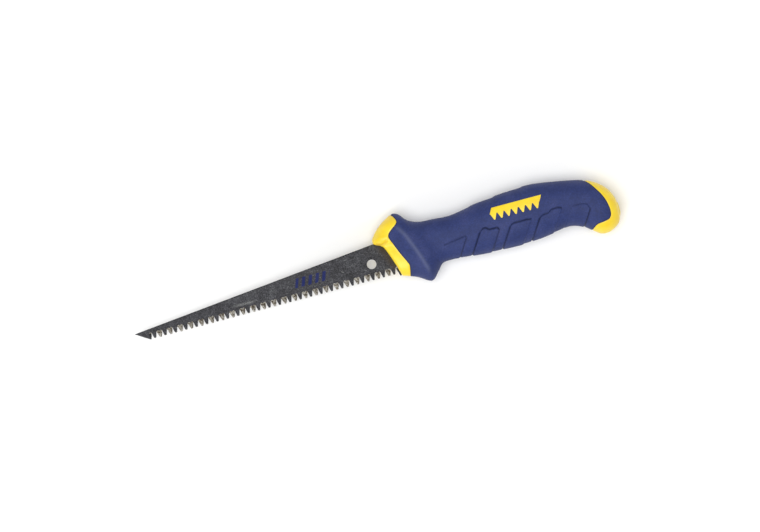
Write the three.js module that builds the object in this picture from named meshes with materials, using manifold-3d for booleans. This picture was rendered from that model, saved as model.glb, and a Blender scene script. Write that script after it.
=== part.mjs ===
// Drywall (jab) saw. A stiff, pointed blade with alternately ground teeth is pinned by its tang
// between two ribbed plastic half shells, and a soft rubber grip is moulded over the shells.
// Millimetres. The saw lies on its side: x runs back from the blade's point along the line of the
// tooth tips, y runs from that line to the spine, and z = 0 is the middle of the blade until the
// whole saw is set down at the end.
import * as THREE from 'three';
import { mergeVertices } from 'three/addons/utils/BufferGeometryUtils.js';
import Module from 'manifold-3d';

const wasm = await Module();
wasm.setup();

// ---------------------------------------------------------------- driving dimensions

// Blade
const BLADE_LENGTH = 158.3; // point to the nose of the collar, along the tooth line
const BLADE_THICKNESS = 1.5;
const POINT_HEIGHT = 5.75; // point above the tooth line
const SPINE_HEIGHT = 21.75; // spine above the tooth line where it meets the nose
const TOOTH_LINE_START = 8.9; // first corner of the tooth line behind the point
const FRONT_BEVEL = 1.0; // width of the edge ground on one side from the point to that corner
const FIRST_TOOTH = 12.0; // first tooth tip behind the point
const TOOTH_PITCH = 3.36;
const GULLET_DEPTH = 4.0;
const GULLET_RADIUS = 0.9;
const GULLET_LEAN = 0.66; // each face's gullet lies this far towards the tooth ground on it
const FULL_TIP = 0.6; // half width of a tooth tip on the face that isn't ground
const GROUND_TIP = 0.08; // and on the face that is
const SPUR_DROP = 1.7; // heel of the blade below the tooth line
const HANG_HOLE_DIAMETER = 6;
const HANG_HOLE_SETBACK = 4; // hole centre to the nose of the collar
const HANG_HOLE_HEIGHT = 9.85;

// Tang
const TANG_HEIGHT = 12;
const TANG_LENGTH = 84; // behind the shoulder under the collar
const SHOULDER = 9; // spine runs on under the collar this far

// Handle
const HANDLE_LENGTH = 155; // nose of the collar to the end of the butt
const HANDLE_HEIGHT = 46.6; // crest of the collar down to the guard
const HANDLE_WIDTH = 31;
const NOSE_ABOVE_SPINE = 1.15;
const GRIP_WALL = 2.8;
const SHELL_WALL = 2.8;
const PIN_DIAMETER = 4.8;
const PIN_LENGTH = 10;
const PIN_SPACING = 29;
const FIRST_PIN = 28; // behind the nose
const BOSS_WALL = 2.5;
const RIB_THICKNESS = 2;
const RIB_SPACING = 16;
const EMBLEM_LENGTH = 34;
const EMBLEM_HEIGHT = 7.6;
const EMBLEM_DEPTH = 1.1;

// Clearances
const GAP = 0.3; // between neighbouring pieces
const FLOOR_GAP = 0.3; // under an emblem in its pocket

// Fineness of the round stretches
const GULLET_STEPS = 6;
const HOLE_STEPS = 24;
const SKIN = { perSection: 2, halfRing: 12 }; // skin, grip wall and shell wall
const HOLLOW = { perSection: 1, halfRing: 8 }; // out of sight
const SEAM_STEPS = 30;

// ---------------------------------------------------------------- solids

// A closed geometry as a solid that can be cut and joined.
function solidOf(geometry) {
  const bare = new THREE.BufferGeometry();
  bare.setAttribute('position', geometry.getAttribute('position'));
  if (geometry.index) bare.setIndex(geometry.index);
  const merged = mergeVertices(bare, 1e-4);
  return new wasm.Manifold(new wasm.Mesh({
    numProp: 3,
    vertProperties: new Float32Array(merged.getAttribute('position').array),
    triVerts: new Uint32Array(merged.index.array),
  }));
}

// A flat outline of [x, y] points pulled from z = low to z = high.
function plate(points, low, high) {
  const shape = new THREE.Shape(points.map(([x, y]) => new THREE.Vector2(x, y)));
  const geometry = new THREE.ExtrudeGeometry(shape, { depth: high - low, bevelEnabled: false });
  return solidOf(geometry.translate(0, 0, low));
}

// A round bar along z.
function bar(x, y, radius, low, high, steps = HOLE_STEPS) {
  const geometry = new THREE.CylinderGeometry(radius, radius, high - low, steps);
  return solidOf(geometry.rotateX(Math.PI / 2).translate(x, y, (low + high) / 2));
}

// A box between two corners.
function block(from, to) {
  const size = from.map((low, axis) => to[axis] - low);
  const middle = from.map((low, axis) => (low + to[axis]) / 2);
  return solidOf(new THREE.BoxGeometry(...size).translate(...middle));
}

function union(solids) {
  return solids.reduce((sum, solid) => sum.add(solid));
}

// A counter-clockwise outline with every edge moved out by a clearance.
function grown(points, clearance) {
  return points.map((point, i) => {
    const before = points[(i + points.length - 1) % points.length];
    const after = points[(i + 1) % points.length];
    const inward = new THREE.Vector2(point[0] - before[0], point[1] - before[1]).normalize();
    const outward = new THREE.Vector2(after[0] - point[0], after[1] - point[1]).normalize();
    const across = new THREE.Vector2(inward.y + outward.y, -inward.x - outward.x).normalize();
    const reach = clearance / (across.x * inward.y - across.y * inward.x);
    return [point[0] + across.x * reach, point[1] + across.y * reach];
  });
}

// ---------------------------------------------------------------- places on the saw

const NOSE_HEIGHT = SPINE_HEIGHT + NOSE_ABOVE_SPINE;
const SPINE_SLOPE = (SPINE_HEIGHT - POINT_HEIGHT) / BLADE_LENGTH;

function spineAt(x) {
  return POINT_HEIGHT + SPINE_SLOPE * x;
}

// The handle's own places are given in millimetres behind the nose and above the tooth line of
// a handle of its drawn size; a longer, taller or wider handle is the drawn one stretched.
const DRAWN = { length: 155, height: 46.6, width: 31, nose: 22.9 };

function behindNose(x) {
  return BLADE_LENGTH + (x * HANDLE_LENGTH) / DRAWN.length;
}

function handleHeight(y) {
  return NOSE_HEIGHT + ((y - DRAWN.nose) * HANDLE_HEIGHT) / DRAWN.height;
}

function onHandle([x, y]) {
  return [behindNose(x), handleHeight(y)];
}

const tangMiddle = handleHeight(13.6);
const tang = {
  top: tangMiddle + TANG_HEIGHT / 2,
  bottom: tangMiddle - TANG_HEIGHT / 2,
  front: BLADE_LENGTH + SHOULDER,
  end: BLADE_LENGTH + SHOULDER + TANG_LENGTH,
};
const heel = { x: behindNose(11.7), y: -SPUR_DROP, root: behindNose(19.5) };
const pins = [0, 1, 2].map((i) => ({ x: BLADE_LENGTH + FIRST_PIN + i * PIN_SPACING, y: tangMiddle }));

// The tang and the back of the blade, from the spur round to the spine, counter-clockwise.
const tangOutline = [
  [heel.x + 0.5, heel.y],
  [heel.root, tang.bottom],
  [tang.end, tang.bottom],
  [tang.end, tang.top],
  [tang.front, tang.top],
  [tang.front, spineAt(tang.front)],
];

// ---------------------------------------------------------------- blade

// Tooth k is ground on the left face (+z) when k is odd, and on the right face when it is even.
function groundOn(face, k) {
  return (Math.abs(k) % 2 === 1) === (face > 0);
}

function tipHalf(face, k) {
  return groundOn(face, k) ? GROUND_TIP : FULL_TIP;
}

// The gullet between two tooth tips on one face: down one flank, round the bottom, up the other.
function gullet(face, k, from, to) {
  const lean = groundOn(face, k) ? -GULLET_LEAN : GULLET_LEAN;
  const centre = (from + to) / 2 + lean;
  const points = [];
  for (let i = 0; i <= GULLET_STEPS; i += 1) {
    const turn = Math.PI * (1 - i / GULLET_STEPS);
    points.push([
      centre + GULLET_RADIUS * Math.cos(turn),
      GULLET_DEPTH - GULLET_RADIUS + GULLET_RADIUS * Math.sin(turn),
    ]);
  }
  return points;
}

// One face of the blade, counter-clockwise seen from +z. Both faces have the same point count.
function bladeFace(face) {
  const bevel = face > 0 ? FRONT_BEVEL : 0;
  const edge = new THREE.Vector2(TOOTH_LINE_START, -POINT_HEIGHT).normalize();
  const points = [
    [bevel / edge.x, POINT_HEIGHT + (SPINE_SLOPE * bevel) / edge.x],
    [TOOTH_LINE_START - bevel * edge.y, bevel * 0.5],
  ];
  const lastGullet = 2 * (GULLET_LEAN + GULLET_RADIUS) + 0.1; // least length in front of the heel
  const count = Math.floor((heel.x - lastGullet - FIRST_TOOTH) / TOOTH_PITCH) + 1;
  let last = TOOTH_LINE_START;
  for (let k = 0; k < count; k += 1) {
    const tip = FIRST_TOOTH + k * TOOTH_PITCH;
    points.push(...gullet(face, k - 1, last, tip));
    points.push([tip - tipHalf(face, k), 0], [tip + tipHalf(face, k), 0]);
    last = tip;
  }
  points.push(...gullet(face, count - 1, last, heel.x));
  points.push([heel.x, heel.y]);
  points.push(...tangOutline);
  const spineSteps = Math.round(BLADE_LENGTH / 11);
  for (let i = spineSteps; i > 0; i -= 1) {
    const x = (BLADE_LENGTH * i) / spineSteps;
    points.push([x, spineAt(x)]);
  }
  return points;
}

// The blade's two faces differ where it is ground, so its edge is a ruled band between them.
function bladeSolid() {
  const left = bladeFace(1);
  const right = bladeFace(-1);
  const position = [];
  const index = [];
  const half = BLADE_THICKNESS / 2;
  left.forEach(([x, y]) => position.push(x, y, half));
  right.forEach(([x, y]) => position.push(x, y, -half));
  const count = left.length;
  const flat = (points) => points.map(([x, y]) => new THREE.Vector2(x, y));
  THREE.ShapeUtils.triangulateShape(flat(left), []).forEach(([a, b, c]) => index.push(a, b, c));
  THREE.ShapeUtils.triangulateShape(flat(right), []).forEach(([a, b, c]) => {
    index.push(count + a, count + c, count + b);
  });
  for (let i = 0; i < count; i += 1) {
    const next = (i + 1) % count;
    index.push(i, count + i, count + next);
    index.push(i, count + next, next);
  }
  const geometry = new THREE.BufferGeometry();
  geometry.setAttribute('position', new THREE.Float32BufferAttribute(position, 3));
  geometry.setIndex(index);
  const holeX = BLADE_LENGTH - HANG_HOLE_SETBACK;
  const holes = pins.map(({ x, y }) => bar(x, y, PIN_DIAMETER / 2 + GAP, -half - 1, half + 1));
  holes.push(bar(holeX, HANG_HOLE_HEIGHT, HANG_HOLE_DIAMETER / 2, -half - 1, half + 1));
  return solidOf(geometry).subtract(union(holes));
}

// ---------------------------------------------------------------- handle surface

// Sections of the handle from the blade's mouth to the butt. Each runs from a point on the
// underside to a point on the back, and is a rounded oval across that line.
const SECTIONS = [
  { under: [12.9, -2.0], back: [15.0, 36.6], half: 7.5 },
  { under: [21.7, -5.2], back: [17.4, 36.9], half: 11.5 },
  { under: [30.3, -9.7], back: [20.2, 35.5], half: 15.5 },
  { under: [35.5, -4.9], back: [24.4, 30.9], half: 14.2 },
  { under: [39.2, -0.8], back: [30.7, 28.1], half: 12.4 },
  { under: [45.7, 0.0], back: [39.7, 27.4], half: 11.8 },
  { under: [53.7, -0.7], back: [50.7, 26.8], half: 12.3 },
  { under: [65.7, -1.9], back: [65.7, 29.2], half: 13.8 },
  { under: [83.7, -2.5], back: [83.7, 31.4], half: 15.1 },
  { under: [101.7, -1.9], back: [101.7, 32.5], half: 15.4 },
  { under: [113.7, 0.1], back: [114.7, 31.2], half: 14.8 },
  { under: [122.7, 1.0], back: [125.7, 29.5], half: 14.2 },
  { under: [129.7, -1.2], back: [134.7, 27.4], half: 14.4 },
  { under: [135.2, -5.4], back: [140.7, 25.3], half: 15.0 },
  { under: [140.7, -8.9], back: [146.0, 22.0], half: 15.3 },
  { under: [146.7, -8.4], back: [150.6, 17.3], half: 13.6 },
  { under: [152.2, -4.6], back: [153.3, 12.0], half: 9.5 },
  { under: [154.3, -0.4], back: [154.8, 8.0], half: 4.2 },
];
const BUTT_SECTION = SECTIONS.length - 1;
const OVAL = 2.45; // 2 is an ellipse, more is boxier

// How far the collar's front edge reaches ahead of the first section's line, from the underside
// (0) to the back (1): it follows the blade's heel up, then steps out to the nose.
const NOSE_REACH = new THREE.SplineCurve([
  [0, 0], [0.24, 3.3], [0.48, 7.2], [0.55, 9.5], [0.6, 13.4],
  [0.645, 14.25], [0.7, 13.9], [0.79, 11.3], [0.9, 6.7], [1, 0],
].map(([height, reach]) => new THREE.Vector2(height, reach)));
const noseTable = NOSE_REACH.getPoints(90);
const NOSE_FADE = 3; // sections over which the nose dies away

function noseReach(height) {
  const after = noseTable.findIndex((point) => point.x >= height);
  if (after <= 0) return 0;
  const [a, b] = [noseTable[after - 1], noseTable[after]];
  return THREE.MathUtils.mapLinear(height, a.x, b.x, a.y, b.y);
}

const underLine = new THREE.CatmullRomCurve3(
  SECTIONS.map(({ under }) => new THREE.Vector3(...onHandle(under), 0)),
);
const backLine = new THREE.CatmullRomCurve3(
  SECTIONS.map(({ back, half }) => (
    new THREE.Vector3(...onHandle(back), (half * HANDLE_WIDTH) / DRAWN.width)
  )),
);

// A point of the handle's skin, sunk by inset. Station counts sections; turn goes from the
// underside (0) to the back (pi) on the left side.
function skinPoint(station, turn, inset) {
  const under = underLine.getPoint(station / BUTT_SECTION);
  const back = backLine.getPoint(station / BUTT_SECTION);
  const half = back.z - inset;
  back.z = 0;
  const line = back.clone().sub(under);
  const length = line.length();
  line.normalize();
  const bend = 2 / OVAL;
  const cos = Math.cos(turn);
  const height = 0.5 - 0.5 * Math.sign(cos) * Math.abs(cos) ** bend;
  const fade = Math.max(0, 1 - station / NOSE_FADE) ** 2;
  const ahead = fade * (noseReach(height) * (HANDLE_LENGTH / DRAWN.length) - inset);
  const along = inset + (length - 2 * inset) * height;
  return new THREE.Vector3(
    under.x + line.x * along - ahead,
    under.y + line.y * along,
    half * Math.abs(Math.sin(turn)) ** bend,
  );
}

// The closed body inside the handle's skin, sunk by inset, between two stations.
function handleBody(inset, from = 0, to = BUTT_SECTION, { perSection, halfRing } = SKIN) {
  const rings = Math.round((to - from) * perSection);
  const ringSize = 2 * halfRing;
  const position = [];
  const index = [];
  for (let r = 0; r <= rings; r += 1) {
    const station = from + ((to - from) * r) / rings;
    for (let j = 0; j < ringSize; j += 1) {
      const onLeft = j <= halfRing;
      const step = onLeft ? j : ringSize - j;
      const point = skinPoint(station, (Math.PI * step) / halfRing, inset);
      position.push(point.x, point.y, onLeft ? point.z : -point.z);
    }
  }
  for (let r = 0; r < rings; r += 1) {
    for (let j = 0; j < ringSize; j += 1) {
      const here = r * ringSize + j;
      const beside = r * ringSize + ((j + 1) % ringSize);
      index.push(here, here + ringSize, beside + ringSize);
      index.push(here, beside + ringSize, beside);
    }
  }
  // Each end is closed by strips across the width.
  const last = rings * ringSize;
  for (let j = 0; j < halfRing; j += 1) {
    const mirrored = (ringSize - j) % ringSize;
    const mirroredNext = ringSize - j - 1;
    if (j < halfRing - 1) {
      index.push(j, j + 1, mirroredNext);
      index.push(last + j, last + mirroredNext, last + j + 1);
    }
    if (j > 0) {
      index.push(j, mirroredNext, mirrored);
      index.push(last + j, last + mirrored, last + mirroredNext);
    }
  }
  const geometry = new THREE.BufferGeometry();
  geometry.setAttribute('position', new THREE.Float32BufferAttribute(position, 3));
  geometry.setIndex(index);
  return solidOf(geometry);
}

// ---------------------------------------------------------------- where rubber meets plastic

function seam(places) {
  const points = places.map((place) => new THREE.Vector2(...onHandle(place)));
  return new THREE.SplineCurve(points).getPoints(SEAM_STEPS);
}

// The front seam curves back from under the collar, forward over the blade's line and up behind
// the crest; the rear one swings round the butt.
const frontSeam = seam([
  [17.7, -3.1], [18.4, 0.3], [18.7, 3.3], [17.7, 6.0], [15.4, 10.8], [12.7, 17.3], [10.7, 22.3],
  [10.5, 24.0], [11.4, 25.9], [13.7, 27.9], [16.9, 30.3], [17.7, 32.2], [16.7, 34.6], [14.9, 36.9],
]);
const rearSeam = seam([
  [137.3, 26.7], [140.2, 23.6], [142.7, 20.0], [145.2, 15.8], [147.0, 11.8], [148.0, 7.8],
  [148.4, 4.3], [148.0, 1.3], [146.6, -0.7], [144.7, -1.4], [141.7, -1.9], [138.7, -2.3],
  [136.6, -3.5], [134.9, -5.1],
]);

// A block on one side of a seam, reaching past the handle, with its edge moved towards the grip.
function besideSeam(points, towardsGrip, outside, clearance) {
  const moved = points.map((point, i) => {
    const before = points[Math.max(i - 1, 0)];
    const after = points[Math.min(i + 1, points.length - 1)];
    const along = after.clone().sub(before).normalize();
    return [
      point.x + along.y * clearance * towardsGrip,
      point.y - along.x * clearance * towardsGrip,
    ];
  });
  const [start, end] = [moved[0], moved[moved.length - 1]];
  const beyond = HANDLE_HEIGHT;
  const startY = start[1] < end[1] ? start[1] - beyond : start[1] + beyond;
  const endY = start[1] < end[1] ? end[1] + beyond : end[1] - beyond;
  const outline = [[outside, startY], [start[0], startY], ...moved, [end[0], endY], [outside, endY]];
  return plate(outline, -HANDLE_WIDTH, HANDLE_WIDTH);
}

function collarBlock(clearance) {
  return besideSeam(frontSeam, 1, behindNose(-40), clearance);
}

function buttBlock(clearance) {
  return besideSeam(rearSeam, 1, behindNose(200), clearance);
}

// ---------------------------------------------------------------- emblem

// A plain strip with saw teeth cut along its lower edge.
function emblemOutline() {
  const [x, y] = onHandle([75, 17]);
  const teeth = 7;
  const slant = 2;
  const bite = EMBLEM_HEIGHT * 0.55;
  const step = (EMBLEM_LENGTH - slant) / teeth;
  const points = [];
  for (let i = 0; i < teeth; i += 1) {
    points.push([x + i * step, y + bite], [x + (i + 0.5) * step, y]);
  }
  points.push([x + teeth * step, y + bite]);
  points.push([x + EMBLEM_LENGTH, y + EMBLEM_HEIGHT], [x + slant, y + EMBLEM_HEIGHT]);
  return points;
}

function emblemSolid(side) {
  const reach = [0, side * HANDLE_WIDTH].sort((a, b) => a - b);
  return plate(emblemOutline(), ...reach)
    .intersect(handleBody(0))
    .subtract(handleBody(EMBLEM_DEPTH));
}

function emblemPocket() {
  return plate(grown(emblemOutline(), GAP), -HANDLE_WIDTH, HANDLE_WIDTH)
    .subtract(handleBody(EMBLEM_DEPTH + FLOOR_GAP, 0, BUTT_SECTION - 1));
}

// ---------------------------------------------------------------- handle pieces

// The rubber grip: the skin between the two seams, hollow where the shells fill it.
function gripSolid() {
  return handleBody(0)
    .subtract(handleBody(GRIP_WALL, 0, BUTT_SECTION - 1))
    .subtract(collarBlock(GAP))
    .subtract(buttBlock(GAP))
    .subtract(emblemPocket());
}

// Both half shells together: collar and butt at full size, and a thinner body under the grip.
function shellBody() {
  const skin = handleBody(0);
  return handleBody(GRIP_WALL + GAP, 0, BUTT_SECTION - 1)
    .add(skin.intersect(collarBlock(0)))
    .add(skin.intersect(buttBlock(0)));
}

// The hollow inside the shells, crossed by ribs and by a boss round each pin.
function shellHollow() {
  const wall = GRIP_WALL + GAP + SHELL_WALL;
  const [hollowFrom, hollowTo] = [1.5, 14];
  const ribs = [];
  for (let x = behindNose(26); x < behindNose(146); x += RIB_SPACING) {
    ribs.push(block(
      [x - RIB_THICKNESS / 2, -HANDLE_HEIGHT, -HANDLE_WIDTH],
      [x + RIB_THICKNESS / 2, HANDLE_HEIGHT * 2, HANDLE_WIDTH],
    ));
  }
  const bossRadius = PIN_DIAMETER / 2 + GAP + BOSS_WALL;
  const bosses = pins.map(({ x, y }) => bar(x, y, bossRadius, -HANDLE_WIDTH, HANDLE_WIDTH));
  return handleBody(wall, hollowFrom, hollowTo, HOLLOW).subtract(union([...ribs, ...bosses]));
}

// Room for the blade's heel and tang, and for the pins.
function tangRoom() {
  const half = BLADE_THICKNESS / 2 + GAP;
  const mouth = BLADE_LENGTH - 6;
  const outline = [[mouth, heel.y], ...tangOutline, [mouth, spineAt(mouth)]];
  const pinHalf = PIN_LENGTH / 2 + GAP;
  const pinHoles = pins.map(({ x, y }) => bar(x, y, PIN_DIAMETER / 2 + GAP, -pinHalf, pinHalf));
  return plate(grown(outline, GAP), -half, half).add(union(pinHoles));
}

function halfShell(body, side) {
  const z = [side * (GAP / 2), side * HANDLE_WIDTH].sort((a, b) => a - b);
  const halfSpace = block(
    [behindNose(-40), handleHeight(-60), z[0]],
    [behindNose(220), handleHeight(90), z[1]],
  );
  return body.intersect(halfSpace);
}

// ---------------------------------------------------------------- materials

const blackSteel = new THREE.MeshStandardMaterial({ color: 0x494a4f, roughness: 0.5, metalness: 0.6 });
const brightSteel = new THREE.MeshStandardMaterial({ color: 0xb9bbc0, roughness: 0.35, metalness: 1 });
const yellowPlastic = new THREE.MeshStandardMaterial({ color: 0xf0d53c, roughness: 0.42, metalness: 0 });
const blueRubber = new THREE.MeshStandardMaterial({ color: 0x34426e, roughness: 0.68, metalness: 0 });

// ---------------------------------------------------------------- assembly

const saw = new THREE.Group();

function addPiece(name, solid, material) {
  const { vertProperties, triVerts } = solid.getMesh();
  const geometry = new THREE.BufferGeometry();
  geometry.setAttribute('position', new THREE.BufferAttribute(new Float32Array(vertProperties), 3));
  geometry.setIndex(new THREE.BufferAttribute(new Uint32Array(triVerts), 1));
  const mesh = new THREE.Mesh(geometry, material);
  mesh.name = name;
  saw.add(mesh);
}

addPiece('blade', bladeSolid(), blackSteel);

const shells = shellBody().subtract(shellHollow()).subtract(tangRoom());
addPiece('shell_left', halfShell(shells, 1), yellowPlastic);
addPiece('shell_right', halfShell(shells, -1), yellowPlastic);

['front', 'middle', 'rear'].forEach((place, i) => {
  const { x, y } = pins[i];
  addPiece(`tang_pin_${place}`, bar(x, y, PIN_DIAMETER / 2, -PIN_LENGTH / 2, PIN_LENGTH / 2), brightSteel);
});

addPiece('grip', gripSolid(), blueRubber);
addPiece('emblem_left', emblemSolid(1), yellowPlastic);
addPiece('emblem_right', emblemSolid(-1), yellowPlastic);

// Set the saw down on its side, with the middle of its underside at the origin.
const extent = new THREE.Box3().setFromObject(saw);
const middle = extent.getCenter(new THREE.Vector3());
saw.position.set(-middle.x, -middle.y, -extent.min.z);
saw.updateMatrixWorld(true);

export default saw;
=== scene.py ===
"""A drywall saw lying on its right side, built up as it is assembled: the ground blade, the pins
through its tang, the two half shells that close round it, the rubber grip moulded over them and
the inlaid emblems. Sizes are in millimetres and are turned into the frame's metres as they are
placed."""
import math

import bmesh
import bpy
import numpy as np
from mathutils import Matrix, Vector


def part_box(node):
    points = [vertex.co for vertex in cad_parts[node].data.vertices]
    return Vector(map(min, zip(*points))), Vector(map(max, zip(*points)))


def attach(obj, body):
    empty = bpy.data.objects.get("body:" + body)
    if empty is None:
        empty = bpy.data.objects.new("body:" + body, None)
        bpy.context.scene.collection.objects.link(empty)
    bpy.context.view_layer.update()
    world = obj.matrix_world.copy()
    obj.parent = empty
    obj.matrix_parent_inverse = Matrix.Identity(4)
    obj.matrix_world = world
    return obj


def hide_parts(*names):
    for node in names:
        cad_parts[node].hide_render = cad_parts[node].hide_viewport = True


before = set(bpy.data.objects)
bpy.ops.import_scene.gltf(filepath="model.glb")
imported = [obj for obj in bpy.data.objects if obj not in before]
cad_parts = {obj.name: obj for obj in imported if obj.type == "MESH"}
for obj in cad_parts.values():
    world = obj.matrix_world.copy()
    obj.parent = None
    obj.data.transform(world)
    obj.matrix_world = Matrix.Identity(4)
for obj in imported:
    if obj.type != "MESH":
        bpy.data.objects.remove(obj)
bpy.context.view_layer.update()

# ------------------------------------------------------------------ blade
# One strip of blackened spring steel, 1.5 mm thick, blanked with its tang in one piece. A grinding
# wheel cuts the gullets at a slant, leaning left and right in turn, so that every second tooth is
# ground on the left face and the others on the right. The point is ground from the left only.
MM = 0.001
BLADE_THICKNESS = 1.5
BLADE_LENGTH = 158.3
POINT_HEIGHT = 5.75
SPINE_SLOPE = 16.0 / BLADE_LENGTH
SPINE_CHAMFER = 0.14
TOOTH_LINE_START = 8.9
FRONT_BEVEL = 1.0
FIRST_TOOTH = 12.0
TOOTH_PITCH = 3.36
GULLET_DEPTH = 4.05
GULLET_RADIUS = 0.97
GULLET_LEAN = 0.72
GULLET_RISE = 0.33
FULL_TIP = 0.62
GROUND_TIP = -0.12
WHEEL_OVERRUN = 0.3
PAIRS_OF_GULLETS = 24
HEEL = (170.0, -1.7)
HEEL_LENGTH = 0.5
HEEL_ROOT = 177.8
TEETH_TO_HEEL = 0.65
GROUND_MARGIN = (0.6, 0.5)
TANG_FRONT = 167.3
TANG_BOTTOM = 7.6
TANG_TOP = 19.6
HANG_HOLE = (154.3, 9.85, 3.0)
PIN_PLACES = (186.3, 215.3, 244.3)
PIN_HEIGHT = 13.6
PIN_HOLE_RADIUS = 2.7
BAR_PITCH = 4.4
BAR_SLANT = 0.35
BARS_ALONG = (101.6, 123.4)
BARS_UP = (7.6, 13.4)
RUB_ALONG = (65, 78)
RUB_UP = (6.0, 7.0)
SPINE_BAND = 0.35
SHADOW_AND_STAIN_START = 168.5
SHARP_ANGLE = 35
FAR = 1000.0

blade_low, blade_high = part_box("blade")
TANG_END = (blade_high.x - blade_low.x) / MM
HALF_BLADE = BLADE_THICKNESS / 2
tooth_line = (blade_low.x, blade_low.y - HEEL[1] * MM, (blade_low.z + blade_high.z) / 2)


def at(x, y, z=0.0):
    """A place on the saw: back from the point, up from the tooth line, out of the left side."""
    return (tooth_line[0] + x * MM, tooth_line[1] + y * MM, tooth_line[2] + z * MM)


def linked(name, data):
    """An object for a mesh, light or camera, put in the scene."""
    thing = bpy.data.objects.new(name, data)
    bpy.context.scene.collection.objects.link(thing)
    return thing


def solid(name, places, faces):
    mesh = bpy.data.meshes.new(name)
    mesh.from_pydata([at(*place) for place in places], [], faces)
    mesh.validate()
    return linked(name, mesh)


def stacked(name, loops):
    """A closed body through outlines of equal length, stacked from the right side to the left."""
    count = len(loops[0])
    places = [place for loop in loops for place in loop]
    faces = [tuple(reversed(range(count)))]
    for level in range(len(loops) - 1):
        for i in range(count):
            j = (i + 1) % count
            low, high = level * count, (level + 1) * count
            faces.append((low + i, low + j, high + j, high + i))
    faces.append(tuple(range((len(loops) - 1) * count, len(loops) * count)))
    return solid(name, places, faces)


def pulled(name, outline, low, high):
    """A flat outline pulled straight across the saw."""
    return stacked(name, [[(x, y, z) for x, y in outline] for z in (low, high)])


def circle(x, y, radius, steps=64):
    turns = [2 * math.pi * i / steps for i in range(steps)]
    return [(x + radius * math.cos(t), y + radius * math.sin(t)) for t in turns]


def baked(piece):
    """Replaces a piece's mesh by what its modifiers make of it."""
    worked = piece.evaluated_get(bpy.context.evaluated_depsgraph_get())
    done = bpy.data.meshes.new_from_object(worked)
    piece.modifiers.clear()
    piece.data = done
    return piece


def shaded(piece):
    """Smooth shading, broken at the piece's real edges."""
    piece.data.shade_smooth()
    piece.data.set_sharp_from_angle(angle=math.radians(SHARP_ANGLE))


def machined(piece, operation, *tools):
    """Cuts, joins or meets a piece with tools, which are used up."""
    for tool in tools:
        step = piece.modifiers.new("machined", "BOOLEAN")
        step.operation = operation
        step.solver = "MANIFOLD"
        step.object = tool
        bpy.context.view_layer.update()
        baked(piece)
        bpy.data.objects.remove(tool)
    return piece


def finished(piece, cad_node):
    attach(piece, "root")
    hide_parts(cad_node)


def shader(name, build):
    """A material whose nodes are laid by build(tree, surface)."""
    material = bpy.data.materials.new(name)
    material.use_nodes = True
    build(material.node_tree, material.node_tree.nodes["Principled BSDF"])
    return material


def noise(tree, place, scale, detail=3.0, roughness=0.55):
    texture = tree.nodes.new("ShaderNodeTexNoise")
    texture.inputs["Scale"].default_value = scale
    texture.inputs["Detail"].default_value = detail
    texture.inputs["Roughness"].default_value = roughness
    tree.links.new(place, texture.inputs["Vector"])
    return texture.outputs["Fac"]


def ramp(tree, value, stops):
    """Maps a value through colour stops of (place, (r, g, b)) or (place, grey)."""
    node = tree.nodes.new("ShaderNodeValToRGB")
    tree.links.new(value, node.inputs["Fac"])
    elements = node.color_ramp.elements
    while len(elements) < len(stops):
        elements.new(0.5)
    for element, (place, colour) in zip(elements, stops):
        grey = isinstance(colour, (int, float))
        element.position = place
        element.color = (colour, colour, colour, 1.0) if grey else (*colour, 1.0)
    return node.outputs["Color"]


def maths(tree, operation, *terms):
    """One sum on numbers or sockets."""
    node = tree.nodes.new("ShaderNodeMath")
    node.operation = operation
    for socket, term in zip(node.inputs, terms):
        if isinstance(term, (int, float)):
            socket.default_value = term
        else:
            tree.links.new(term, socket)
    return node.outputs["Value"]


def blended(tree, amount, first, second, how="MIX"):
    """Mixes two colours, each a tuple or a socket."""
    node = tree.nodes.new("ShaderNodeMix")
    node.data_type = "RGBA"
    node.blend_type = how
    # A mix of colours takes its amount at socket 0 and its colours at 6 and 7, and gives out 2.
    for place, term in ((0, amount), (6, first), (7, second)):
        socket = node.inputs[place]
        if isinstance(term, (int, float)):
            socket.default_value = term
        elif isinstance(term, tuple):
            socket.default_value = (*term, 1.0)
        else:
            tree.links.new(term, socket)
    return node.outputs[2]


def bumped(tree, surface, height, distance, strength=1.0):
    bump = tree.nodes.new("ShaderNodeBump")
    bump.inputs["Strength"].default_value = strength
    bump.inputs["Distance"].default_value = distance * MM
    tree.links.new(height, bump.inputs["Height"])
    tree.links.new(bump.outputs["Normal"], surface.inputs["Normal"])


def on_saw(tree):
    """Object coordinates in millimetres, back from the point and up from the tooth line."""
    coordinates = tree.nodes.new("ShaderNodeTexCoord")
    mapping = tree.nodes.new("ShaderNodeMapping")
    mapping.vector_type = "POINT"
    mapping.inputs["Scale"].default_value = (1 / MM,) * 3
    mapping.inputs["Location"].default_value = [-place / MM for place in tooth_line]
    tree.links.new(coordinates.outputs["Object"], mapping.inputs["Vector"])
    return mapping.outputs["Vector"]


def along_axes(tree, place):
    split = tree.nodes.new("ShaderNodeSeparateXYZ")
    tree.links.new(place, split.inputs["Vector"])
    return split.outputs["X"], split.outputs["Y"], split.outputs["Z"]


def stretched(tree, place, size, turn=0.0):
    """Coordinates for marks of a size in millimetres, turned on the saw's side."""
    mapping = tree.nodes.new("ShaderNodeMapping")
    mapping.vector_type = "TEXTURE"
    mapping.inputs["Scale"].default_value = size
    mapping.inputs["Rotation"].default_value = (0.0, 0.0, turn)
    tree.links.new(place, mapping.inputs["Vector"])
    return mapping.outputs["Vector"]


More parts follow.
